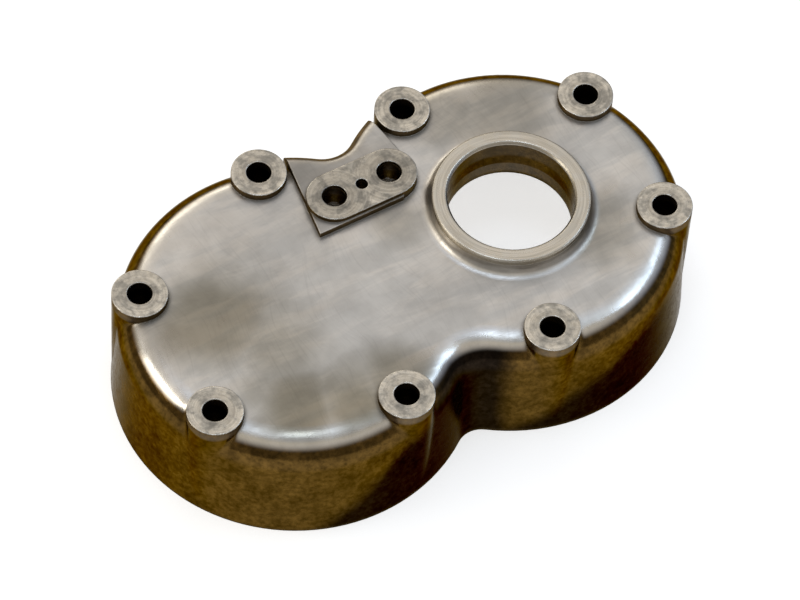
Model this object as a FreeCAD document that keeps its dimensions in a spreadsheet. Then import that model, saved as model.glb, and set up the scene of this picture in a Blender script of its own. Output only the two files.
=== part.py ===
"""Die cast gear housing: one hollow figure-of-eight casting with bolt columns,
a bored seal ring over one lobe and an oblong fitting pad at the waist.

Row frame, millimetres: the origin is the middle of the joint face, +X runs along
the two lobe axes towards the bored lobe, +Y towards the fitting pad, +Z up.
"""
import FreeCAD
import Part
import math
import os
import Sketcher

# Driving dimensions, alias and value, in the order of the sheet's rows.
DIMENSIONS = [
    ("lobe_offset", 33.6),
    ("joint_radius", 50.2),
    ("neck_radius", 7.0),
    ("draft_angle", 3.3),
    ("deck_height", 36.3),
    ("crown_radius", 9.0),
    ("wall_thickness", 4.5),
    ("deck_thickness", 5.0),
    ("ceiling_chamfer", 4.0),
    ("bolt_circle", 42.25),
    ("end_bolt_angle", 30.0),
    ("waist_bolt_angle", 105.0),
    ("bolt_hole_radius", 3.5),
    ("column_radius", 7.7),
    ("column_height", 38.5),
    ("bore_radius", 17.5),
    ("bore_chamfer", 0.6),
    ("ring_radius", 21.85),
    ("ring_height", 41.2),
    ("ring_chamfer", 0.4),
    ("ring_cove", 3.0),
    ("sleeve_length", 14.2),
    ("sleeve_radius", 21.2),
    ("plinth_height", 38.2),
    ("plinth_crown", 4.0),
    ("plinth_front", 15.3),
    ("plinth_front_half", 17.6),
    ("plinth_back", 48.0),
    ("plinth_back_half", 12.6),
    ("pad_height", 39.6),
    ("pad_centre", 23.55),
    ("pad_half_spacing", 8.6),
    ("pad_end_radius", 7.75),
    ("pad_root", 25.0),
    ("fitting_hole_radius", 3.5),
    ("fitting_hole_depth", 11.5),
    ("drill_point", 1.9),
    ("passage_radius", 1.7),
]
SIZE = dict(DIMENSIONS)

# The two kinds of rim: the feature and the name of its size.
ROUNDED = ("Fillet", "Radius")
CHAMFERED = ("Chamfer", "Size")

doc = FreeCAD.newDocument("die_cast_housing")
dims = doc.addObject("Spreadsheet::Sheet", "dims")
for row, (alias, value) in enumerate(DIMENSIONS, start=1):
    dims.set("A%d" % row, alias)
    dims.set("B%d" % row, str(value))
    dims.setAlias("B%d" % row, alias)
doc.recompute()


def new_body(name):
    """An empty body that holds one form."""
    return doc.addObject("PartDesign::Body", name)


def new_sketch(body, name, role="XY_Plane"):
    """A sketch lying on one of the body's own origin planes."""
    plane = next(item for item in body.Origin.OriginFeatures if item.Role == role)
    sketch = body.newObject("Sketcher::SketchObject", name)
    sketch.AttachmentSupport = (plane, [""])
    sketch.MapMode = "FlatFace"
    return sketch


def limit(sketch, name, expression, *constraint):
    """Add a dimension to the sketch and bind it to the sheet."""
    index = sketch.addConstraint(Sketcher.Constraint(*constraint))
    sketch.renameConstraint(index, name)
    sketch.setExpression("Constraints." + name, expression)


def arc(centre_x, centre_y, radius, start, end):
    """A circular arc, turning left from start to end, in radians."""
    circle = Part.Circle(FreeCAD.Vector(centre_x, centre_y, 0), FreeCAD.Vector(0, 0, 1), radius)
    return Part.ArcOfCircle(circle, start, end)


def figure_eight(sketch, inset):
    """Two lobe arcs joined by two neck arcs, set in from the joint outline."""
    offset = SIZE["lobe_offset"]
    lobe = SIZE["joint_radius"] - SIZE[inset] if inset else SIZE["joint_radius"]
    neck = SIZE["neck_radius"] + SIZE[inset] if inset else SIZE["neck_radius"]
    neck_centre = math.sqrt((lobe + neck) ** 2 - offset ** 2)
    lean = math.atan2(neck_centre, offset)
    right = sketch.addGeometry(arc(offset, 0, lobe, lean - math.pi, math.pi - lean))
    upper = sketch.addGeometry(arc(0, neck_centre, neck, math.pi + lean, 2 * math.pi - lean))
    left = sketch.addGeometry(arc(-offset, 0, lobe, lean, 2 * math.pi - lean))
    lower = sketch.addGeometry(arc(0, -neck_centre, neck, lean, math.pi - lean))
    sketch.addConstraint(Sketcher.Constraint("Tangent", right, 2, upper, 2))
    sketch.addConstraint(Sketcher.Constraint("Tangent", upper, 1, left, 1))
    sketch.addConstraint(Sketcher.Constraint("Tangent", left, 2, lower, 2))
    sketch.addConstraint(Sketcher.Constraint("Tangent", lower, 1, right, 1))
    sketch.addConstraint(Sketcher.Constraint("PointOnObject", right, 3, -1))
    sketch.addConstraint(Sketcher.Constraint("PointOnObject", left, 3, -1))
    sketch.addConstraint(Sketcher.Constraint("Equal", right, left))
    sketch.addConstraint(Sketcher.Constraint("Equal", upper, lower))
    change = "dims." + inset if inset else "0"
    limit(sketch, "right_offset", "dims.lobe_offset", "DistanceX", -1, 1, right, 3, offset)
    limit(sketch, "left_offset", "dims.lobe_offset", "DistanceX", left, 3, -1, 1, offset)
    limit(sketch, "lobe_radius", "dims.joint_radius - " + change, "Radius", right, lobe)
    limit(sketch, "neck_radius", "dims.neck_radius + " + change, "Radius", upper, neck)


def drafted_form(name, inset, height, rim_feature, rim_size):
    """A figure-of-eight solid, drafted inwards from the joint face, its top rim dressed.

    The rim feature is the kind of edge, Fillet or Chamfer, and the name of its size.
    """
    body = new_body(name)
    sketch = new_sketch(body, name + "_outline")
    figure_eight(sketch, inset)
    pad = body.newObject("PartDesign::Pad", name + "_pad")
    pad.Profile = sketch
    pad.setExpression("Length", height)
    doc.recompute()
    sides = [
        "Face%d" % number
        for number, face in enumerate(pad.Shape.Faces, start=1)
        if face.Surface.TypeId == "Part::GeomCylinder"
    ]
    draft = body.newObject("PartDesign::Draft", name + "_draft")
    draft.Base = (pad, sides)
    base_plane = next(item for item in body.Origin.OriginFeatures if item.Role == "XY_Plane")
    draft.NeutralPlane = (base_plane, [""])
    draft.setExpression("Angle", "dims.draft_angle")
    doc.recompute()
    assert draft.Shape.Volume < pad.Shape.Volume, name + " must narrow upwards"
    top = draft.Shape.BoundBox.ZMax
    rim = [
        "Edge%d" % number
        for number, edge in enumerate(draft.Shape.Edges, start=1)
        if edge.BoundBox.ZMin > top - 0.01
    ]
    kind, size_name = rim_feature
    dressing = body.newObject("PartDesign::" + kind, name + "_rim")
    dressing.Base = (draft, rim)
    dressing.setExpression(size_name, rim_size)
    doc.recompute()
    return body



def polygon(sketch, corners):
    """A closed outline of straight lines with each corner bound to the sheet.

    Each corner is a name, then its x and its y, each as a formula and a value.
    """
    points = [FreeCAD.Vector(along[1], across[1], 0) for _, along, across in corners]
    lines = [
        sketch.addGeometry(Part.LineSegment(point, points[(number + 1) % len(points)]))
        for number, point in enumerate(points)
    ]
    for number, line in enumerate(lines):
        following = lines[(number + 1) % len(lines)]
        sketch.addConstraint(Sketcher.Constraint("Coincident", line, 2, following, 1))
    for line, (name, along, across) in zip(lines, corners):
        limit(sketch, name + "_x", along[0], "DistanceX", -1, 1, line, 1, along[1])
        limit(sketch, name + "_y", across[0], "DistanceY", -1, 1, line, 1, across[1])


def of_sheet(alias, sign=1):
    """A dimension of the sheet as its formula and its value."""
    return ("%d * dims.%s" % (sign, alias), sign * SIZE[alias])


def pad_between(body, sketch, start, end):
    """Pad the sketch between two heights given as formulas."""
    sketch.setExpression("AttachmentOffset.Base.z", start)
    pad = body.newObject("PartDesign::Pad", body.Name + "_pad")
    pad.Profile = sketch
    pad.setExpression("Length", "(%s) - (%s)" % (end, start))
    doc.recompute()
    return body


def stadium_body(name, start, end):
    """The oblong of the fitting pad, raised between two heights."""
    body = new_body(name)
    sketch = new_sketch(body, name + "_outline")
    middle = SIZE["pad_centre"]
    half = SIZE["pad_half_spacing"]
    end_radius = SIZE["pad_end_radius"]
    quarter = math.pi / 2
    right = sketch.addGeometry(arc(half, middle, end_radius, -quarter, quarter))
    left = sketch.addGeometry(arc(-half, middle, end_radius, quarter, 3 * quarter))
    top_points = [FreeCAD.Vector(x, middle + end_radius, 0) for x in (half, -half)]
    low_points = [FreeCAD.Vector(x, middle - end_radius, 0) for x in (-half, half)]
    top = sketch.addGeometry(Part.LineSegment(*top_points))
    low = sketch.addGeometry(Part.LineSegment(*low_points))
    for first, following in ((right, top), (top, left), (left, low), (low, right)):
        sketch.addConstraint(Sketcher.Constraint("Tangent", first, 2, following, 1))
    sketch.addConstraint(Sketcher.Constraint("Equal", right, left))
    limit(sketch, "end_radius", "dims.pad_end_radius", "Radius", right, end_radius)
    limit(sketch, "right_x", "dims.pad_half_spacing", "DistanceX", -1, 1, right, 3, half)
    limit(sketch, "right_y", "dims.pad_centre", "DistanceY", -1, 1, right, 3, middle)
    limit(sketch, "left_x", "dims.pad_half_spacing", "DistanceX", left, 3, -1, 1, half)
    limit(sketch, "left_y", "dims.pad_centre", "DistanceY", -1, 1, left, 3, middle)
    return pad_between(body, sketch, start, end)


def cylinder(name, radius, start, end, along, across, turn="0"):
    """An upright cylinder between two heights; its seam faces the turn angle."""
    item = doc.addObject("Part::Cylinder", name)
    item.setExpression("Radius", radius)
    item.setExpression("Height", "(%s) - (%s)" % (end, start))
    item.Placement.Rotation.Axis = FreeCAD.Vector(0, 0, 1)
    item.setExpression("Placement.Base.x", along)
    item.setExpression("Placement.Base.y", across)
    item.setExpression("Placement.Base.z", start)
    item.setExpression("Placement.Rotation.Angle", turn)
    return item


def at_bolts(name, radius, start, end):
    """Eight like cylinders on the two bolt circles, their seams facing outwards."""
    items = []
    for place in ("end", "waist"):
        for lobe in (1, -1):
            for side in (1, -1):
                turn = "%d * dims.%s_bolt_angle" % (side, place)
                if lobe < 0:
                    turn = "180 - (%s)" % turn
                along = "%d * dims.lobe_offset + dims.bolt_circle * cos(%s)" % (lobe, turn)
                across = "dims.bolt_circle * sin(%s)" % turn
                number = len(items) + 1
                items.append(cylinder("%s_%d" % (name, number), radius, start, end, along, across, turn))
    return items


def join(name, items):
    """The union of several solids."""
    union = doc.addObject("Part::MultiFuse", name)
    union.Shapes = items
    return union


def cut(name, base, tool):
    """The base with the tool taken away."""
    difference = doc.addObject("Part::Cut", name)
    difference.Base = base
    difference.Tool = tool
    return difference


def round_edges(name, base, radius, chosen):
    """Fillet every edge of the base that the chosen test picks."""
    doc.recompute()
    fillet = doc.addObject("Part::Fillet", name)
    fillet.Base = base
    size = SIZE[radius]
    fillet.Edges = [
        (number, size, size)
        for number, edge in enumerate(base.Shape.Edges, start=1)
        if chosen(edge)
    ]
    doc.recompute()
    return fillet


def is_ring_foot(edge):
    """True for the circle where the seal ring stands on the deck."""
    box = edge.BoundBox
    width = box.XLength
    level = box.ZLength < 0.01 and abs(box.ZMin - SIZE["deck_height"]) < 0.01
    return level and abs(width - 2 * SIZE["ring_radius"]) < 0.1


# The turned ring over the bored lobe, with the sleeve that hangs below the deck.
ring = new_body("seal_ring")
ring_section = new_sketch(ring, "seal_ring_section", "XZ_Plane")
ring_section.setExpression("AttachmentOffset.Base.x", "dims.lobe_offset")
core_side = ("dims.bore_radius - 1", SIZE["bore_radius"] - 1)
sleeve_end = ("dims.ring_height - dims.sleeve_length", SIZE["ring_height"] - SIZE["sleeve_length"])
step_height = ("dims.deck_height - dims.ring_chamfer", SIZE["deck_height"] - SIZE["ring_chamfer"])
rim_height = ("dims.ring_height - dims.ring_chamfer", SIZE["ring_height"] - SIZE["ring_chamfer"])
rim_radius = ("dims.ring_radius - dims.ring_chamfer", SIZE["ring_radius"] - SIZE["ring_chamfer"])
polygon(ring_section, [
    ("sleeve_inner", core_side, sleeve_end),
    ("sleeve_outer", of_sheet("sleeve_radius"), sleeve_end),
    ("step_inner", of_sheet("sleeve_radius"), step_height),
    ("step_outer", of_sheet("ring_radius"), step_height),
    ("rim_lower", of_sheet("ring_radius"), rim_height),
    ("rim_upper", rim_radius, of_sheet("ring_height")),
    ("top_inner", core_side, of_sheet("ring_height")),
])
turn = ring.newObject("PartDesign::Revolution", "seal_ring_turn")
turn.Profile = ring_section
turn.ReferenceAxis = (ring_section, ["V_Axis"])
turn.Angle = 360
doc.recompute()

# The oblong pad for a fitting, with the root below the deck that its blind holes need.
fitting_pad = stadium_body("fitting_pad", "dims.pad_root", "dims.pad_height")

# The cover die's side: the drafted shell form with its columns, ring, plinth and pad.
outer = drafted_form("outer_form", None, "dims.deck_height", ROUNDED, "dims.crown_radius")
columns = at_bolts("column", "dims.column_radius", "0", "dims.column_height")
ringed = join("ringed_form", [outer] + columns + [ring])
coved = round_edges("coved_form", ringed, "ring_cove", is_ring_foot)

plinth_form = drafted_form("plinth_form", None, "dims.plinth_height", ROUNDED, "dims.plinth_crown")
plinth_block = new_body("plinth_block")
plinth_outline = new_sketch(plinth_block, "plinth_outline")
plinth_end = SIZE["pad_half_spacing"] + SIZE["pad_end_radius"] - SIZE["ring_chamfer"]
polygon(plinth_outline, [
    ("front_left", of_sheet("plinth_front_half", -1), of_sheet("plinth_front")),
    ("front_right", of_sheet("pad_half_spacing"), of_sheet("plinth_front")),
    ("pad_end", ("dims.pad_half_spacing + dims.pad_end_radius - dims.ring_chamfer", plinth_end),
     of_sheet("pad_centre")),
    ("back_right", of_sheet("plinth_back_half"), of_sheet("plinth_back")),
    ("back_left", of_sheet("plinth_back_half", -1), of_sheet("plinth_back")),
])
plinth_start = "dims.deck_height - dims.crown_radius - dims.wall_thickness"
pad_between(plinth_block, plinth_outline, plinth_start, "dims.ring_height")
plinth = doc.addObject("Part::MultiCommon", "plinth")
plinth.Shapes = [plinth_form, plinth_block]
cover = join("cover_side", [coved, plinth, fitting_pad])

# The core: the drafted cavity, relieved round the columns, the sleeve and the pad's root.
ceiling = "dims.deck_height - dims.deck_thickness"
cavity = drafted_form("cavity_form", "wall_thickness", ceiling, CHAMFERED, "dims.ceiling_chamfer")
core_relief = join("core_relief", columns + [ring, fitting_pad])
core = cut("core", cavity, core_relief)
casting = cut("casting", cover, core)

# The machining: bolt holes, seal bore, blind fitting holes and the passage between them.
bolt_holes = at_bolts("bolt_hole", "dims.bolt_hole_radius", "-1", "dims.ring_height")
bore = cylinder("bore", "dims.bore_radius", "0", "dims.ring_height + 1", "dims.lobe_offset", "0")
bore_lead = doc.addObject("Part::Cone", "bore_lead")
bore_lead.setExpression("Radius1", "dims.bore_radius")
bore_lead.setExpression("Radius2", "dims.bore_radius + dims.bore_chamfer")
bore_lead.setExpression("Height", "dims.bore_chamfer")
bore_lead.setExpression("Placement.Base.x", "dims.lobe_offset")
bore_lead.setExpression("Placement.Base.z", "dims.ring_height - dims.bore_chamfer")
drillings = bolt_holes + [bore, bore_lead]
floor = "dims.pad_height - dims.fitting_hole_depth"
for number, side in enumerate((1, -1), start=1):
    along = "%d * dims.pad_half_spacing" % side
    drillings.append(cylinder(
        "fitting_hole_%d" % number, "dims.fitting_hole_radius", floor,
        "dims.ring_height", along, "dims.pad_centre"))
    point = doc.addObject("Part::Cone", "drill_point_%d" % number)
    point.Radius1 = 0
    point.setExpression("Radius2", "dims.fitting_hole_radius")
    point.setExpression("Height", "dims.drill_point")
    point.setExpression("Placement.Base.x", along)
    point.setExpression("Placement.Base.y", "dims.pad_centre")
    point.setExpression("Placement.Base.z", floor + " - dims.drill_point")
    drillings.append(point)
drillings.append(cylinder(
    "passage", "dims.passage_radius", "0", "dims.ring_height", "0", "dims.pad_centre"))
housing = cut("housing", casting, join("machining", drillings))
housing.Label = "housing"
doc.recompute()

for item in doc.Objects:
    if {"Invalid", "Error"} & set(item.State):
        raise RuntimeError("%s failed: %s" % (item.Name, item.State))
os.makedirs("parts", exist_ok=True)
for piece in (housing,):
    shape = piece.Shape
    if shape.isNull() or not shape.isValid() or len(shape.Solids) != 1:
        raise RuntimeError(piece.Label + " is not one valid solid")
    shape.exportStep("parts/%s.step" % piece.Label)
    print(piece.Label, round(shape.Volume / 1000, 1), "cubic centimetres")
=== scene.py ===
"""Looks of the die cast gear housing: polished casting, machined pads, ring and bores."""

import math

import bpy
from mathutils import Matrix, Vector

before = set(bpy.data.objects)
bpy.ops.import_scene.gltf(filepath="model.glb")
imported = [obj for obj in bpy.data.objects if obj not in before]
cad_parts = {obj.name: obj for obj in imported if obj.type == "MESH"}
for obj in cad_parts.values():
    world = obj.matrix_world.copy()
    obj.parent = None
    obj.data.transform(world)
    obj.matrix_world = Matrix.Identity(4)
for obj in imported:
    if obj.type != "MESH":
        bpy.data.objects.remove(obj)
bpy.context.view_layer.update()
MM = 0.001

# Places on the casting, in metres, in the row's frame.
LOBE_OFFSET = 33.6 * MM
BOLT_CIRCLE = 42.25 * MM
END_BOLT_ANGLE = math.radians(30)
WAIST_BOLT_ANGLE = math.radians(105)
BOLT_HOLE_RADIUS = 3.5 * MM
BORE_RADIUS = 17.5 * MM
COVE_RADIUS = 24.85 * MM
DECK_HEIGHT = 36.3 * MM
PLINTH_HEIGHT = 38.2 * MM
COLUMN_TOP = 38.5 * MM
COVE_TOP = 39.3 * MM
RING_TOP = 41.2 * MM
PAD_CENTRE = 23.55 * MM
PAD_HALF_SPACING = 8.6 * MM
FITTING_HOLE_RADIUS = 3.5 * MM
PASSAGE_RADIUS = 1.7 * MM
JOINT_RADIUS = 50.2 * MM
WALL_THICKNESS = 4.5 * MM
DECK_THICKNESS = 5.0 * MM
DRAFT = math.tan(math.radians(3.3))

# Metals, and the painted reflections, highlights and shade on them, as linear colours.
POLISHED = (0.80, 0.775, 0.735, 1)
MACHINED = (0.78, 0.735, 0.645, 1)
# Lighter edges: partly wear, partly a painted highlight.
WEAR_AND_HIGHLIGHT = (0.93, 0.91, 0.87, 1)
# A painted warm, dark reflection on the deck.
DECK_REFLECTION = (0.42, 0.38, 0.29, 1)
# Painted shade for deep corners and holes; the plinth's darker patches use it too.
SHADE_BROWN = (0.075, 0.055, 0.028, 1)
# Painted reflections on the sides: warm brown, and near black where they stand for the casting's own
# shadow.
WARM_REFLECTION = (0.080, 0.046, 0.012, 1)
SHADOW_REFLECTION = (0.013, 0.009, 0.006, 1)
EDGE_TINT = (0.46, 0.41, 0.33, 1)

# Random variation in the metal, from broad smears down to its grain: the fineness per metre,
# the number of finer layers and how strong those are.
VARIATION = {
    "broad": (26.0, 3.0, 0.55),
    "patchy": (150.0, 4.0, 0.6),
    "dents": (270.0, 4.0, 0.62),
    "speckle": (620.0, 3.0, 0.65),
    "grain": (1500.0, 3.0, 0.6),
}
HAIR_FINENESS = 1500.0
RING_FINENESS = 1900.0

# Roughness of each finish, from one end of its variation to the other.
CROWN_ROUGHNESS = (0.09, 0.19)
WALL_ROUGHNESS = (0.17, 0.30)
DECK_ROUGHNESS = (0.40, 0.24)
CUT_ROUGHNESS = (0.36, 0.20)

# Relief, in mm.
SWELL_HEIGHT = 0.22
WAVE_HEIGHT = 0.045
CAST_HEIGHT = 0.022
GRAIN_HEIGHT = 0.004
HAIR_HEIGHT = 0.006
DENT_HEIGHT = 0.05
PAD_RIDGE_HEIGHT = 0.030
RING_RIDGE_HEIGHT = 0.018

# Corners: how far the light softens them on machined and on cast parts, and how far the painted
# shade in creases reaches.
CRISP_CORNER = 0.45 * MM
SOFT_CORNER = 2.2 * MM
SHADE_REACH = 2.2 * MM

# The painted reflection on the sides: which way its upper edge leans, the level directions along and
# out of the side that its painted shadow is darkest on, and the two slanting lines that the painted
# shadow ends at.
UPWARD = (-0.0864, -0.130, 0.988)
ACROSS = (0.8335, -0.5525, 0)
FRONTWARD = (-0.5525, -0.8335, 0)
WAIST_SLOPE = 0.9
WAIST_LINE = 14.4 * MM
FOOT_SLOPE = 0.65
FOOT_LINE = 19.7 * MM

# Places on the deck given a painted warm, dark reflection: x, y and reach in mm, and how strong.
DECK_REFLECTION_PLACES = (
    (-57, 4, 26, 0.78),
    (-46, -9, 22, 0.58),
    (-57, -20, 15, 0.50),
    (-50, -31, 20, 0.85),
    (-36, -36, 19, 0.85),
    (-24, -36, 16, 0.75),
    (48, 30, 18, 0.45),
    (33, 37, 16, 0.45),
    (51, -18, 18, 0.48),
    (4, 10, 13, 0.40),
)

# The view: where it looks, how far off, how high and how it is turned.
VIEW_TARGET = Vector((-9.35 * MM, -13.86 * MM, COLUMN_TOP))
VIEW_DISTANCE = 1.395
VIEW_AZIMUTH = math.radians(-33.54)
VIEW_ELEVATION = math.radians(56.49)
VIEW_ROLL = math.radians(4.46)
VIEW_LENS = 232.6

# The floor: its size and how far it lies below the joint face, in metres, and its brightness.
FLOOR_SIZE = 60
FLOOR_GAP = 0.05 * MM
FLOOR_COLOUR = (0.8, 0.8, 0.8, 1)
FLOOR_GLOW = 0.62

# The room: the direction that its light comes from, its tones from the far side of that
# direction to the direction itself, and the cool tint overhead and towards +X.
ROOM_DIRECTION = (0.0, 0.55, 0.835)
ROOM_TONES = (
    (0.00, (0.44, 0.42, 0.39, 1)),
    (0.46, (0.44, 0.42, 0.39, 1)),
    (0.62, (0.46, 0.43, 0.39, 1)),
    (0.77, (0.49, 0.45, 0.38, 1)),
    (0.87, (0.59, 0.525, 0.42, 1)),
    (0.94, (0.62, 0.58, 0.53, 1)),
    (1.00, (0.62, 0.575, 0.525, 1)),
)
WHITE = (1, 1, 1, 1)
COOL = (0.70, 0.82, 1.08, 1)

# The lamps: name, place, width and length in metres, watts and colour.
LAMPS = (
    ("ceiling_lamp", (-0.05, 0.02, 1.0), 0.26, 0.26, 0.75, (0.72, 0.85, 1.0)),
    ("window_lamp", (-0.95, 0.45, 0.75), 0.6, 0.6, 2.6, (1.0, 0.96, 0.87)),
    ("back_lamp", (0.15, 1.1, 0.50), 0.7, 0.35, 1.1, (1.0, 0.93, 0.80)),
    ("side_lamp", (0.68, -0.14, 0.88), 0.55, 0.22, 1.3, (0.60, 0.78, 1.0)),
)


# Short ways to write nodes.


def add(tree, kind, inputs=None, **settings):
    """A node with its settings and its inputs; an input is a value or another node's output."""
    node = tree.nodes.new(kind)
    for name, value in settings.items():
        setattr(node, name, value)
    for key, value in (inputs or {}).items():
        if isinstance(value, bpy.types.NodeSocket):
            tree.links.new(value, node.inputs[key])
        else:
            node.inputs[key].default_value = value
    return node


def calc(tree, operation, first, second=0.0, third=0.0):
    """The result of one step of arithmetic."""
    inputs = {0: first, 1: second, 2: third}
    return add(tree, "ShaderNodeMath", inputs, operation=operation).outputs[0]


def times(tree, first, *others):
    """The product of several numbers or masks."""
    for other in others:
        first = calc(tree, "MULTIPLY", first, other)
    return first


def highest(tree, first, *others):
    """The highest of several numbers or masks."""
    for other in others:
        first = calc(tree, "MAXIMUM", first, other)
    return first


def outside(tree, mask):
    """The mask of everything that another mask leaves out."""
    return calc(tree, "SUBTRACT", 1.0, mask)


def vector_calc(tree, operation, first, second=(0, 0, 0), output=0):
    """The result of one step of arithmetic on vectors."""
    node = add(tree, "ShaderNodeVectorMath", {0: first, 1: second}, operation=operation)
    return node.outputs[output]


def step(tree, value, start, end, low=0.0, high=1.0):
    """A soft step from low to high as the value goes from start to end."""
    inputs = {"Value": value, "From Min": start, "From Max": end, "To Min": low, "To Max": high}
    node = add(tree, "ShaderNodeMapRange", inputs, interpolation_type="SMOOTHSTEP")
    return node.outputs["Result"]


# A Mix node has a pair of inputs for each kind of thing that it mixes: 2 and 3 are numbers,
# 4 and 5 are vectors, 6 and 7 are colours.


def mix_value(tree, factor, first, second):
    """One number over another."""
    return add(tree, "ShaderNodeMix", {0: factor, 2: first, 3: second}).outputs[0]


def mix_vector(tree, factor, first, second):
    """One vector over another."""
    inputs = {0: factor, 4: first, 5: second}
    return add(tree, "ShaderNodeMix", inputs, data_type="VECTOR").outputs[1]


def blend(tree, factor, first, second, mode="MIX"):
    """One colour over another."""
    inputs = {0: factor, 6: first, 7: second}
    return add(tree, "ShaderNodeMix", inputs, data_type="RGBA", blend_type=mode).outputs[2]


def grey(tree, value):
    """A grey of the given brightness."""
    return add(tree, "ShaderNodeCombineColor", {0: value, 1: value, 2: value}).outputs[0]


def noise(tree, vector, scale, detail=3.0, roughness=0.5, output="Fac"):
    """Soft random variation of the given fineness."""
    inputs = {"Vector": vector, "Scale": scale, "Detail": detail, "Roughness": roughness}
    return add(tree, "ShaderNodeTexNoise", inputs).outputs[output]


def flat_distance(tree, position, centre, mirrored=False):
    """The distance seen from above to an upright axis, or to its copies in all four quarters."""
    if mirrored:
        position = vector_calc(tree, "ABSOLUTE", position)
    flat = vector_calc(tree, "MULTIPLY", position, (1, 1, 0))
    return vector_calc(tree, "DISTANCE", flat, (centre[0], centre[1], 0), output="Value")


def new_group(name, inputs, outputs):
    """An empty shader node group with named sockets, and its inner input and output nodes."""
    group = bpy.data.node_groups.new(name, "ShaderNodeTree")
    for direction, sockets in (("INPUT", inputs), ("OUTPUT", outputs)):
        for label, kind in sockets:
            group.interface.new_socket(label, in_out=direction, socket_type="NodeSocket" + kind)
    start = group.nodes.new("NodeGroupInput")
    end = group.nodes.new("NodeGroupOutput")
    return group, start.outputs, end


def place_group(tree, group, **inputs):
    """What a group puts out, placed in a material with its own values."""
    return add(tree, "ShaderNodeGroup", inputs, node_tree=group).outputs[0]


def new_material(name):
    """An empty material, its nodes and its output."""
    material = bpy.data.materials.new(name)
    material.use_nodes = True
    tree = material.node_tree
    tree.nodes.clear()
    return material, tree, tree.nodes.new("ShaderNodeOutputMaterial")


# Marks of the tools, each a node group.


def bolt_distance_group():
    """The distance from the nearest bolt axis."""
    group, given, end = new_group("bolt_distance", [("Position", "Vector")], [("Distance", "Float")])
    places = []
    for angle in (END_BOLT_ANGLE, WAIST_BOLT_ANGLE):
        places.append((LOBE_OFFSET + BOLT_CIRCLE * math.cos(angle), BOLT_CIRCLE * math.sin(angle)))
    near, far = (flat_distance(group, given["Position"], place, mirrored=True) for place in places)
    group.links.new(calc(group, "MINIMUM", near, far), end.inputs["Distance"])
    return group


def turning_group():
    """The marks of a turned face: fine rings about an axis, broken along their length."""
    inputs = [("Position", "Vector"), ("Radius", "Float"), ("Fineness", "Float")]
    group, given, end = new_group("turning_marks", inputs, [("Height", "Float")])
    rings = calc(group, "MULTIPLY", given["Radius"], given["Fineness"])
    breaks_per_metre = 55
    along = vector_calc(group, "SCALE", given["Position"])
    along.node.inputs["Scale"].default_value = breaks_per_metre
    parts = add(group, "ShaderNodeSeparateXYZ", {0: along}).outputs
    vector = add(group, "ShaderNodeCombineXYZ", {0: rings, 1: parts[0], 2: parts[1]}).outputs[0]
    group.links.new(noise(group, vector, 1.0, 2.0, 0.6), end.inputs["Height"])
    return group


def scratches_group():
    """Hair scratches left by hand polishing, in three crossing directions that wander."""
    inputs = [("Position", "Vector"), ("Fineness", "Float")]
    group, given, end = new_group("polishing_scratches", inputs, [("Height", "Float")])
    total = None
    for number, turn in enumerate((0.35, 1.25, 2.3)):
        drift = noise(group, given["Position"], 18.0 + 7 * number, 1.0, output="Color")
        wander = vector_calc(group, "MULTIPLY", drift, (0.02, 0.02, 0))
        bent = vector_calc(group, "ADD", given["Position"], wander)
        inputs = {"Vector": bent, "Rotation": (0, 0, turn), "Scale": (1.0, 0.03, 0.25)}
        laid = add(group, "ShaderNodeMapping", inputs).outputs[0]
        hairs = noise(group, laid, given["Fineness"], 2.0, 0.7)
        sharp = step(group, hairs, 0.56, 0.74)
        total = sharp if total is None else calc(group, "MAXIMUM", total, sharp)
    group.links.new(total, end.inputs["Height"])
    return group


def smears_group():
    """Broad smears that the polishing mop leaves, laid across each other in two directions."""
    group, given, end = new_group("polishing_smears", [("Position", "Vector")], [("Tone", "Float")])
    tone = None
    for turn, scale, stretch in ((0.5, 75.0, 0.30), (-0.75, 130.0, 0.22)):
        inputs = {"Vector": given["Position"], "Rotation": (0, 0, turn), "Scale": (stretch, 1, 1)}
        laid = add(group, "ShaderNodeMapping", inputs).outputs[0]
        smear = add(group, "ShaderNodeTexNoise", {
            "Vector": laid, "Scale": scale, "Detail": 4.0, "Roughness": 0.62, "Distortion": 0.6})
        streak = step(group, smear.outputs["Fac"], 0.36, 0.66)
        if tone is None:
            tone = streak
        else:
            tone = calc(group, "MULTIPLY_ADD", streak, 0.45, calc(group, "MULTIPLY", tone, 0.55))
    group.links.new(tone, end.inputs["Tone"])
    return group


# The housing's material, put together from where things lie, the variation, and the painted
# reflections and shade.


def distances(tree, position):
    """A point's height, and how far it lies from each axis that a finish goes round."""
    left = flat_distance(tree, position, (-PAD_HALF_SPACING, PAD_CENTRE))
    right = flat_distance(tree, position, (PAD_HALF_SPACING, PAD_CENTRE))
    return {
        "height": add(tree, "ShaderNodeSeparateXYZ", {0: position}).outputs[2],
        "lobe": flat_distance(tree, position, (LOBE_OFFSET, 0), mirrored=True),
        "bore": flat_distance(tree, position, (LOBE_OFFSET, 0)),
        "bolt": place_group(tree, bolt_distance_group(), Position=position),
        "fitting": calc(tree, "MINIMUM", left, right),
        "passage": flat_distance(tree, position, (0, PAD_CENTRE)),
    }


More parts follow.
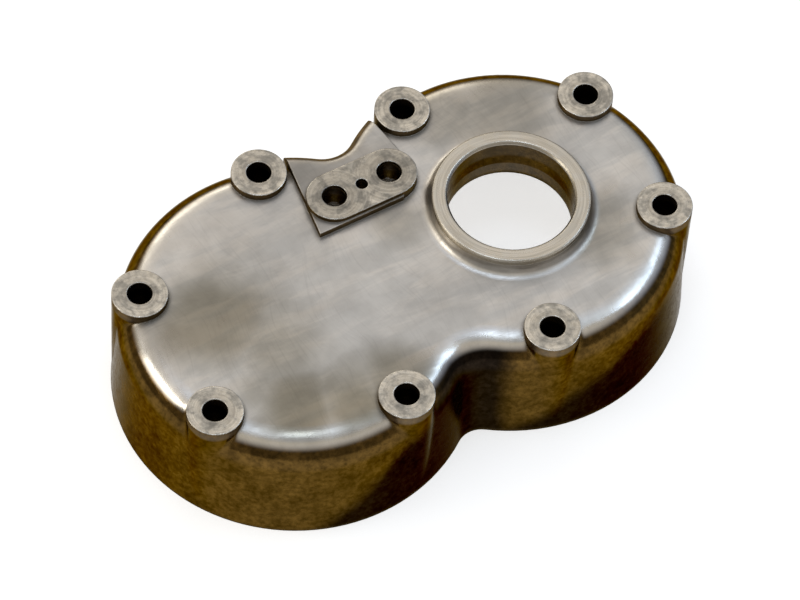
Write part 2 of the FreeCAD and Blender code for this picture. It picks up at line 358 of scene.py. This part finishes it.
def finish_zones(tree, far):
    """Where each finish lies, as masks with narrow soft edges."""
    height = far["height"]
    above_plinth = step(tree, height, COLUMN_TOP - 0.2 * MM, COLUMN_TOP - 0.1 * MM)
    off_cove = step(tree, far["bore"], COVE_RADIUS, COVE_RADIUS + 0.3 * MM)
    ring_face = step(tree, height, COVE_TOP - 0.1 * MM, COVE_TOP + 0.1 * MM)
    in_bore = step(tree, far["bore"], BORE_RADIUS + 0.2 * MM, BORE_RADIUS + 0.1 * MM)
    joint_face = step(tree, height, 0.1 * MM, 0.05 * MM)
    machined = highest(tree, times(tree, above_plinth, off_cove), ring_face, in_bore, joint_face)
    on_deck = step(tree, height, DECK_HEIGHT - 1.6 * MM, DECK_HEIGHT - 0.1 * MM)
    cast_skin = outside(tree, machined)
    on_plinth = step(tree, height, PLINTH_HEIGHT - 0.9 * MM, PLINTH_HEIGHT - 0.6 * MM)
    off_foot = step(tree, height, 2 * MM, 5 * MM)
    below_crown = step(tree, height, DECK_HEIGHT, DECK_HEIGHT - 3 * MM)

    upright = calc(tree, "MULTIPLY_ADD", height, DRAFT, far["lobe"])
    inner_wall = JOINT_RADIUS - WALL_THICKNESS / 2
    ceiling = DECK_HEIGHT - DECK_THICKNESS
    within_wall = step(tree, upright, inner_wall + 0.5 * MM, inner_wall - 0.5 * MM)
    below_ceiling = step(tree, height, ceiling + 0.5 * MM, ceiling + 0.2 * MM)
    return {
        "machined": machined,
        "ring": step(tree, far["bore"], COVE_RADIUS, COVE_RADIUS - 0.5 * MM),
        "bore": in_bore,
        "bolt_hole": step(tree, far["bolt"], BOLT_HOLE_RADIUS + 0.1 * MM, BOLT_HOLE_RADIUS),
        "fitting_pad": step(tree, far["fitting"], 10.5 * MM, 9.5 * MM),
        "fitting_hole": step(
            tree, far["fitting"], FITTING_HOLE_RADIUS + 0.1 * MM, FITTING_HOLE_RADIUS),
        "passage": step(tree, far["passage"], PASSAGE_RADIUS + 0.1 * MM, PASSAGE_RADIUS),
        "at_deck": on_deck,
        "deck": times(tree, on_deck, cast_skin),
        "plinth": times(tree, on_plinth, off_cove, cast_skin),
        "wall": step(tree, height, DECK_HEIGHT - 5 * MM, DECK_HEIGHT - 9 * MM),
        "sides": times(tree, off_foot, below_crown),
        "hollow": times(tree, within_wall, below_ceiling),
    }


def surface_marks(tree, position, far, zone):
    """The random variation and the marks of the tools."""
    marks = {name: noise(tree, position, *numbers) for name, numbers in VARIATION.items()}
    marks["smears"] = place_group(tree, smears_group(), Position=position)
    marks["hairs"] = place_group(
        tree, scratches_group(), Position=position, Fineness=HAIR_FINENESS)
    marks["from_drill"] = calc(tree, "MINIMUM", far["bolt"], far["fitting"])
    turned_about = mix_value(tree, zone["ring"], marks["from_drill"], far["bore"])
    marks["rings"] = place_group(
        tree, turning_group(), Position=position, Radius=turned_about, Fineness=RING_FINENESS)
    return marks


def corners(tree, far, zone, marks):
    """Corners: rounded where the real ones are, lighter on the edges (partly wear, partly a painted
    highlight), with painted shade where they are deep.
    """
    crisp = add(tree, "ShaderNodeBevel", {"Radius": CRISP_CORNER}, samples=6).outputs[0]
    soft = add(tree, "ShaderNodeBevel", {"Radius": SOFT_CORNER}, samples=8).outputs[0]
    rounded = vector_calc(tree, "NORMALIZE", mix_vector(tree, zone["sides"], crisp, soft))
    facing = tree.nodes.new("ShaderNodeNewGeometry").outputs["Normal"]
    bend = vector_calc(tree, "DOT_PRODUCT", crisp, facing, output="Value")
    occlusion = add(tree, "ShaderNodeAmbientOcclusion", {"Distance": SHADE_REACH}, samples=8)
    open_air = occlusion.outputs["AO"]
    # Painted shade: darker where the corners are deep and closed in, less in the fitting holes.
    crease_shade = times(
        tree,
        step(tree, open_air, 0.86, 0.45, high=0.9),
        step(tree, marks["patchy"], 0.25, 0.6, low=0.7),
        mix_value(tree, zone["fitting_hole"], 1.0, 0.35),
    )
    # Lighter edges above the deck: partly wear, partly a painted highlight.
    edge_wear_and_highlight = times(
        tree,
        step(tree, bend, 0.985, 0.93),
        step(tree, marks["patchy"], 0.35, 0.6),
        step(tree, open_air, 0.7, 0.95),
        step(tree, far["height"], DECK_HEIGHT, DECK_HEIGHT + 1 * MM),
        mix_value(tree, zone["ring"], 1.0, 0.4),
    )
    return rounded, edge_wear_and_highlight, crease_shade


def painted_side_reflections(tree, position, rounded, far, zone, marks):
    """Painted reflections on the sides: warm brown, and a near black painted shadow round the waist
    and at the bored lobe's foot.
    """
    upward = vector_calc(tree, "DOT_PRODUCT", rounded, UPWARD, output="Value")
    # How much of the painted reflection reaches the deck's edge and the ring.
    deck_reflection_share = mix_value(tree, zone["ring"], 0.92, 0.40)
    side_reflection = times(
        tree,
        step(tree, upward, 0.92, 0.79),
        outside(tree, zone["hollow"]),
        mix_value(tree, zone["at_deck"], 1.0, deck_reflection_share),
    )
    side = vector_calc(tree, "DOT_PRODUCT", position, ACROSS, output="Value")
    wobble = calc(tree, "MULTIPLY_ADD", noise(tree, position, 60.0, 2.0), 9 * MM, -4.5 * MM)
    raised = calc(tree, "ADD", far["height"], wobble)
    past_waist = calc(
        tree, "MULTIPLY_ADD", raised, -WAIST_SLOPE, calc(tree, "ADD", side, WAIST_LINE))
    waist = times(
        tree,
        step(tree, past_waist, -7 * MM, 1 * MM),
        step(tree, calc(tree, "ADD", side, wobble), 35 * MM, 28 * MM),
    )
    over_foot = calc(
        tree, "MULTIPLY_ADD", side, -FOOT_SLOPE, calc(tree, "ADD", raised, FOOT_LINE))
    foot = times(
        tree,
        step(tree, over_foot, 5 * MM, -4 * MM),
        step(tree, side, 25 * MM, 33 * MM),
        step(tree, raised, 30 * MM, 20 * MM),
    )
    frontward = vector_calc(tree, "DOT_PRODUCT", position, FRONTWARD, output="Value")
    near_side = step(tree, calc(tree, "ADD", frontward, wobble), -30 * MM, 4 * MM, low=0.25)
    # The near black part is a painted reflection of the casting's shadow, strongest on the near
    # side.
    colour = blend(tree, times(tree, highest(tree, waist, foot), near_side), WARM_REFLECTION, SHADOW_REFLECTION)
    tone = times(
        tree,
        step(tree, marks["patchy"], 0.3, 0.7, low=0.80, high=1.40),
        step(tree, marks["speckle"], 0.3, 0.7, low=0.7, high=1.35),
    )
    return side_reflection, blend(tree, 1.0, colour, grey(tree, tone), "MULTIPLY")


def deck_reflection_patches(tree, position, broad):
    """Where the deck gets a painted warm, dark reflection: soft-edged patches that wander with the
    broad variation.
    """
    wander = calc(tree, "MULTIPLY_ADD", broad, 24 * MM, -12 * MM)
    total = None
    for x, y, reach, strength in DECK_REFLECTION_PLACES:
        away = calc(tree, "ADD", flat_distance(tree, position, (x * MM, y * MM)), wander)
        patch = step(tree, away, reach * MM, 0.2 * reach * MM, high=strength)
        total = patch if total is None else calc(tree, "MAXIMUM", total, patch)
    return total


def skin_tone(tree, zone, marks):
    """How light the polished skin is: smeared on the deck, even on the crown and walls."""
    smeared = step(tree, marks["smears"], 0.15, 0.8, low=0.84, high=1.04)
    even = step(tree, marks["broad"], 0.3, 0.7, low=0.88, high=1.0)
    return times(
        tree,
        mix_value(tree, zone["at_deck"], even, smeared),
        step(tree, marks["patchy"], 0.3, 0.65, low=0.92, high=1.03),
        step(tree, marks["broad"], 0.36, 0.60, low=0.90, high=1.08),
        calc(tree, "MULTIPLY_ADD", marks["hairs"], -0.07, 1.0),
    )


def cut_tone(tree, zone, marks):
    """How light the machined faces are: ringed all over, and marked and dented on the pads."""
    ring = zone["ring"]
    speckled = step(tree, marks["speckle"], 0.36, 0.56, low=0.84, high=1.06)
    dented = step(tree, marks["dents"], 0.36, 0.56, low=0.62, high=1.08)
    rubbed = step(tree, marks["from_drill"], 4.3 * MM, 6.6 * MM, low=0.84, high=1.06)
    return times(
        tree,
        step(tree, marks["rings"], 0.35, 0.65, low=0.82, high=1.06),
        mix_value(tree, ring, speckled, 1.04),
        mix_value(tree, ring, dented, 1.0),
        mix_value(tree, ring, rubbed, 1.0),
        mix_value(tree, zone["fitting_pad"], 1.0, 0.74),
    )


def alloy_colour(tree, position, rounded, edge_wear_and_highlight, crease_shade, far, zone, marks):
    """Warm polished alloy, yellower where cut, under painted reflections, lighter edges, painted
    shade and darker plinth patches.
    """
    tone = mix_value(
        tree, zone["machined"], skin_tone(tree, zone, marks), cut_tone(tree, zone, marks))
    colour = blend(tree, zone["machined"], POLISHED, MACHINED)
    colour = blend(tree, 1.0, colour, grey(tree, tone), "MULTIPLY")
    # Darker patches on the plinth, in the brown used for painted shade.
    in_patches = step(tree, marks["broad"], 0.3, 0.62, low=0.5, high=0.15)
    colour = blend(tree, times(tree, zone["plinth"], in_patches), colour, SHADE_BROWN)
    # Painted warm, dark reflections on the deck.
    deck_reflection_mask = times(tree, deck_reflection_patches(tree, position, marks["broad"]), zone["deck"])
    colour = blend(tree, deck_reflection_mask, colour, blend(tree, 1.0, colour, DECK_REFLECTION, "MULTIPLY"))
    # Painted reflections on the sides.
    side_reflection, side_reflection_colour = painted_side_reflections(tree, position, rounded, far, zone, marks)
    colour = blend(tree, side_reflection, colour, side_reflection_colour)
    # Lighter edges: partly wear, partly a painted highlight.
    colour = blend(tree, times(tree, edge_wear_and_highlight, 0.7), colour, WEAR_AND_HIGHLIGHT)
    # Painted shade in deep corners.
    colour = blend(tree, crease_shade, colour, SHADE_BROWN)

    # Painted shade: the holes get darker with depth, the fitting holes less than the others.
    depth = step(tree, far["height"], COLUMN_TOP, COLUMN_TOP - 9 * MM, low=0.35, high=0.93)
    fitting_hole_shade = times(tree, zone["fitting_hole"], 0.2)
    drilled = highest(tree, zone["bolt_hole"], zone["passage"], fitting_hole_shade)
    colour = blend(tree, times(tree, drilled, depth), colour, SHADE_BROWN)
    # The bore's wall gets a darker painted reflection.
    below_rim = step(tree, far["height"], RING_TOP - 0.8 * MM, RING_TOP - 1.1 * MM, high=0.93)
    bore_reflection_colour = blend(tree, 0.4, side_reflection_colour, SHADOW_REFLECTION)
    return blend(tree, times(tree, zone["bore"], below_rim), colour, bore_reflection_colour)


def alloy_roughness(tree, crease_shade, zone, marks):
    """Mirror bright on the crown and walls, hazy on the deck, satin where cut."""
    crown = step(tree, marks["patchy"], 0.3, 0.7, *CROWN_ROUGHNESS)
    smeared = step(tree, marks["smears"], 0.1, 0.9, *DECK_ROUGHNESS)
    deck = calc(tree, "MULTIPLY_ADD", marks["patchy"], 0.08, smeared)
    wall = step(tree, marks["speckle"], 0.3, 0.7, *WALL_ROUGHNESS)
    skin = mix_value(tree, zone["wall"], mix_value(tree, zone["at_deck"], crown, deck), wall)
    cut = step(tree, marks["dents"], 0.3, 0.7, *CUT_ROUGHNESS)
    finish = mix_value(tree, zone["machined"], skin, cut)
    return calc(tree, "MULTIPLY_ADD", crease_shade, 0.25, finish)


def alloy_relief(tree, position, zone, marks):
    """Hand-polished waves, scratches, cast grain on the walls and turned rings, in mm."""
    swell = calc(tree, "MULTIPLY", noise(tree, position, 42.0, 1.0, 0.4), SWELL_HEIGHT)
    ripple = noise(tree, position, 130.0, 2.0, 0.5)
    waves = calc(tree, "MULTIPLY_ADD", ripple, WAVE_HEIGHT, swell)
    cast = times(tree, marks["speckle"], zone["wall"], CAST_HEIGHT)
    grain = calc(tree, "MULTIPLY", marks["grain"], GRAIN_HEIGHT)
    scratched = calc(tree, "MULTIPLY", marks["hairs"], HAIR_HEIGHT)
    skin = calc(
        tree, "ADD", calc(tree, "ADD", waves, cast), calc(tree, "ADD", grain, scratched))
    dented = times(tree, marks["dents"], mix_value(tree, zone["ring"], DENT_HEIGHT, 0.0))
    ridge_height = mix_value(tree, zone["ring"], PAD_RIDGE_HEIGHT, RING_RIDGE_HEIGHT)
    ridges = times(tree, marks["rings"], ridge_height)
    return mix_value(tree, zone["machined"], skin, calc(tree, "ADD", ridges, dented))


def cast_alloy():
    """The housing's one material: polished skin, hazy deck, machined faces, drilled holes."""
    material, tree, output = new_material("cast_alloy")
    shader = add(tree, "ShaderNodeBsdfPrincipled", {"Metallic": 1.0, "Specular Tint": EDGE_TINT})
    tree.links.new(shader.outputs[0], output.inputs[0])
    position = tree.nodes.new("ShaderNodeTexCoord").outputs["Object"]
    far = distances(tree, position)
    zone = finish_zones(tree, far)
    marks = surface_marks(tree, position, far, zone)
    rounded, edge_wear_and_highlight, crease_shade = corners(tree, far, zone, marks)
    colour = alloy_colour(tree, position, rounded, edge_wear_and_highlight, crease_shade, far, zone, marks)
    roughness = alloy_roughness(tree, crease_shade, zone, marks)
    relief = alloy_relief(tree, position, zone, marks)
    inputs = {"Height": relief, "Strength": 1.0, "Distance": MM, "Normal": rounded}
    bump = add(tree, "ShaderNodeBump", inputs).outputs[0]
    tree.links.new(colour, shader.inputs["Base Color"])
    tree.links.new(roughness, shader.inputs["Roughness"])
    tree.links.new(bump, shader.inputs["Normal"])
    return material


def dress_housing():
    """Give the casting its metal."""
    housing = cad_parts["housing"]
    material = cast_alloy()
    for place in housing.material_slots:
        place.material = material


# The camera, the floor and the light.


def turned_camera():
    """A long lens, looking down on the front of the casting, slightly rolled."""
    data = bpy.data.cameras.new("view_camera")
    data.sensor_width = 36
    data.lens = VIEW_LENS
    data.clip_start = 0.05
    data.clip_end = 50
    camera = bpy.data.objects.new("view_camera", data)
    bpy.context.scene.collection.objects.link(camera)
    level = math.cos(VIEW_ELEVATION)
    back = Vector((
        math.sin(VIEW_AZIMUTH) * level,
        -math.cos(VIEW_AZIMUTH) * level,
        math.sin(VIEW_ELEVATION),
    ))
    right = Vector((math.cos(VIEW_AZIMUTH), math.sin(VIEW_AZIMUTH), 0))
    up = back.cross(right)
    rolled_right = right * math.cos(VIEW_ROLL) + up * math.sin(VIEW_ROLL)
    rolled_up = up * math.cos(VIEW_ROLL) - right * math.sin(VIEW_ROLL)
    turn = Matrix((rolled_right, rolled_up, back)).transposed()
    camera.matrix_world = Matrix.Translation(VIEW_TARGET + back * VIEW_DISTANCE) @ turn.to_4x4()
    bpy.context.scene.camera = camera


def floor_material():
    """A plain pale floor that keeps the casting's shadow."""
    material, tree, output = new_material("pale_floor")
    matt = add(tree, "ShaderNodeBsdfDiffuse", {"Color": FLOOR_COLOUR})
    glow = add(tree, "ShaderNodeEmission", {"Color": WHITE, "Strength": FLOOR_GLOW})
    pale = add(tree, "ShaderNodeAddShader", {0: matt.outputs[0], 1: glow.outputs[0]})
    rays = tree.nodes.new("ShaderNodeLightPath").outputs
    seen = highest(
        tree, rays["Is Camera Ray"], rays["Is Glossy Ray"], rays["Is Transmission Ray"])
    mixed = add(tree, "ShaderNodeMixShader", {0: seen, 1: matt.outputs[0], 2: pale.outputs[0]})
    tree.links.new(mixed.outputs[0], output.inputs[0])
    return material


def lay_floor():
    """The floor that the casting's joint face rests on."""
    bpy.ops.mesh.primitive_plane_add(size=FLOOR_SIZE, location=(0, 0, -FLOOR_GAP))
    floor = bpy.context.object
    floor.name = "floor"
    floor.data.materials.append(floor_material())


def room_light():
    """Even soft light, a little stronger from above the far side and cool overhead."""
    world = bpy.data.worlds.new("room")
    world.use_nodes = True
    bpy.context.scene.world = world
    tree = world.node_tree
    tree.nodes.clear()
    output = tree.nodes.new("ShaderNodeOutputWorld")
    direction = tree.nodes.new("ShaderNodeTexCoord").outputs["Generated"]
    towards = vector_calc(tree, "DOT_PRODUCT", direction, ROOM_DIRECTION, output="Value")
    share = add(tree, "ShaderNodeMapRange", {"Value": towards, "From Min": -1.0})
    ramp = add(tree, "ShaderNodeValToRGB", {0: share.outputs["Result"]})
    stops = ramp.color_ramp
    stops.interpolation = "EASE"
    for number, (place, tone) in enumerate(ROOM_TONES):
        stop = stops.elements[number] if number < 2 else stops.elements.new(place)
        stop.position = place
        stop.color = tone
    parts = add(tree, "ShaderNodeSeparateXYZ", {0: direction}).outputs
    cool = highest(tree, step(tree, parts[0], 0.35, 0.85), step(tree, parts[2], 0.87, 0.97))
    tint = blend(tree, cool, WHITE, COOL)
    light = blend(tree, 1.0, ramp.outputs[0], tint, "MULTIPLY")
    room = add(tree, "ShaderNodeBackground", {"Color": light, "Strength": 1.0})
    tree.links.new(room.outputs[0], output.inputs[0])


def soft_lamp(name, place, width, length, watts, tint):
    """A rectangular lamp that faces the middle of the casting."""
    data = bpy.data.lights.new(name, "AREA")
    data.shape = "RECTANGLE"
    data.size = width
    data.size_y = length
    data.energy = watts
    data.color = tint
    lamp = bpy.data.objects.new(name, data)
    lamp.location = place
    lamp.rotation_euler = (-Vector(place)).to_track_quat("-Z", "Y").to_euler()
    bpy.context.scene.collection.objects.link(lamp)


turned_camera()
dress_housing()
lay_floor()
room_light()
for lamp_numbers in LAMPS:
    soft_lamp(*lamp_numbers)
bpy.context.scene.view_settings.view_transform = "Standard"
